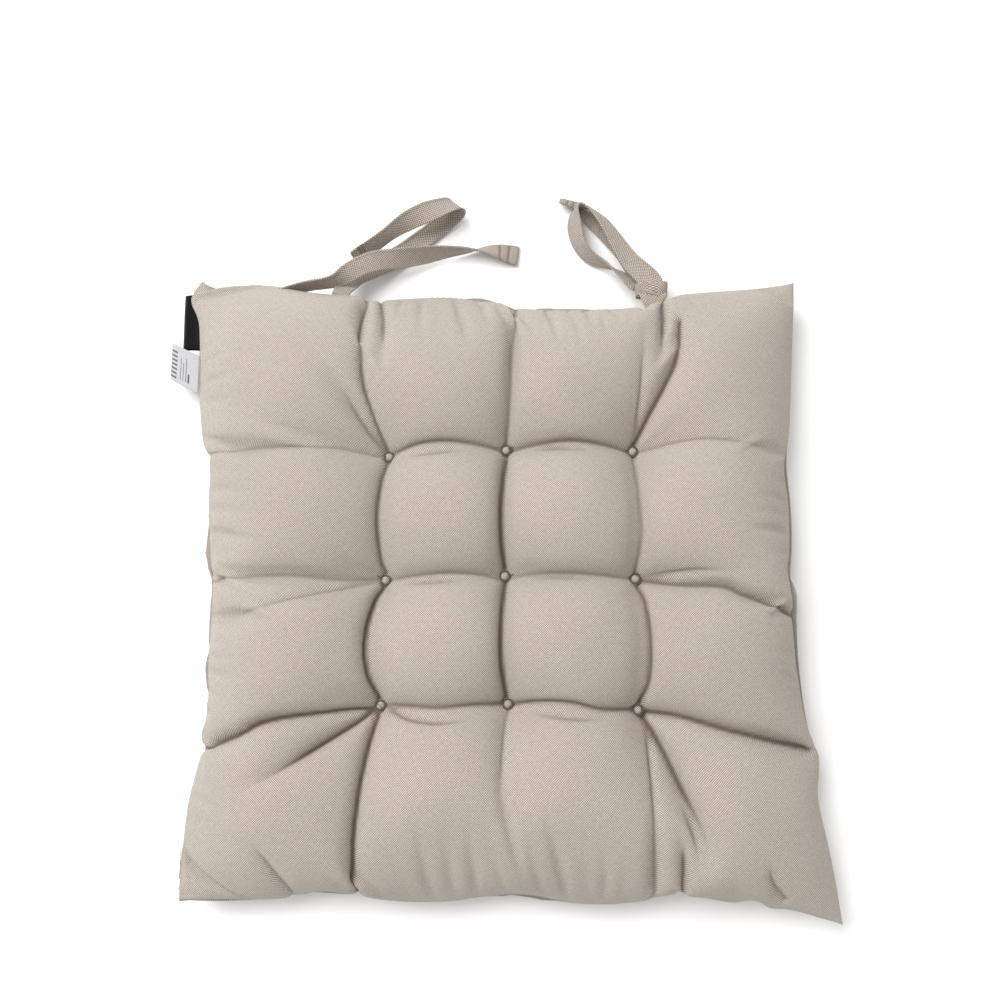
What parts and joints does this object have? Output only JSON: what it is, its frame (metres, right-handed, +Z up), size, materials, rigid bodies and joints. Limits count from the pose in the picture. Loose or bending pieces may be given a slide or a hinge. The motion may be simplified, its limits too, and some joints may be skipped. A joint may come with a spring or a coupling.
{
  "type": "chair seat pad",
  "caption": "Square tufted chair seat pad in woven cloth with wadding filling, knife edges and cloth ties at the back.",
  "frame": {"origin": "centre of the pad on the surface that it rests on", "axes": "+X to the sitter's right, +Y to the back of the chair where the ties are, +Z up out of the seat"},
  "size_m": [0.4713, 0.5374, 0.0667],
  "materials": {
    "cover_cloth": "matt, fine basket weave in two close yarn shades",
    "tie_cloth": "matt, the cover's cloth folded into tapes",
    "wadding": "loose white polyester fibre",
    "tuft_thread": "dark taupe twisted thread",
    "seam_thread": "thread in the cover's shade",
    "dark_label": "black woven ribbon, folded",
    "white_label": "white satin ribbon with plain grey bars"
  },
  "bodies": {
    "pad": {"top_panel": "cover_cloth", "bottom_panel": "cover_cloth", "fibre_fill": "wadding", "seam_thread": "seam_thread", "closing_stitches": "seam_thread", "tuft_front_left": "tuft_thread", "tuft_front_centre": "tuft_thread", "tuft_front_right": "tuft_thread", "tuft_middle_left": "tuft_thread", "tuft_middle_centre": "tuft_thread", "tuft_middle_right": "tuft_thread", "tuft_back_left": "tuft_thread", "tuft_back_centre": "tuft_thread", "tuft_back_right": "tuft_thread"},
    "left_ties": {"left_tie_a": "tie_cloth", "left_tie_a_stitching": "seam_thread", "left_tie_b": "tie_cloth", "left_tie_b_stitching": "seam_thread"},
    "right_ties": {"right_tie_a": "tie_cloth", "right_tie_a_stitching": "seam_thread", "right_tie_b": "tie_cloth", "right_tie_b_stitching": "seam_thread", "right_knot_wrap": "tie_cloth"},
    "brand_tab": {"brand_label": "dark_label"},
    "care_tab": {"care_label": "white_label"}
  },
  "joints": [
    {"name": "left_ties_swing", "type": "hinge", "parent": "pad", "child": "left_ties", "pos_m": [-0.142, 0.2195, 0.029], "axis": [1, 0, 0], "range_deg": [-45, 110]},
    {"name": "right_ties_swing", "type": "hinge", "parent": "pad", "child": "right_ties", "pos_m": [0.108, 0.2195, 0.029], "axis": [1, 0, 0], "range_deg": [-45, 110]},
    {"name": "brand_label_flip", "type": "hinge", "parent": "pad", "child": "brand_tab", "pos_m": [-0.22202, 0.176, 0.03], "axis": [-0.1075, 0.9942, 0], "range_deg": [-50, 110]},
    {"name": "care_label_flip", "type": "hinge", "parent": "pad", "child": "care_tab", "pos_m": [-0.21908, 0.142, 0.03], "axis": [-0.0842, 0.9964, 0], "range_deg": [-40, 110]}
  ]
}
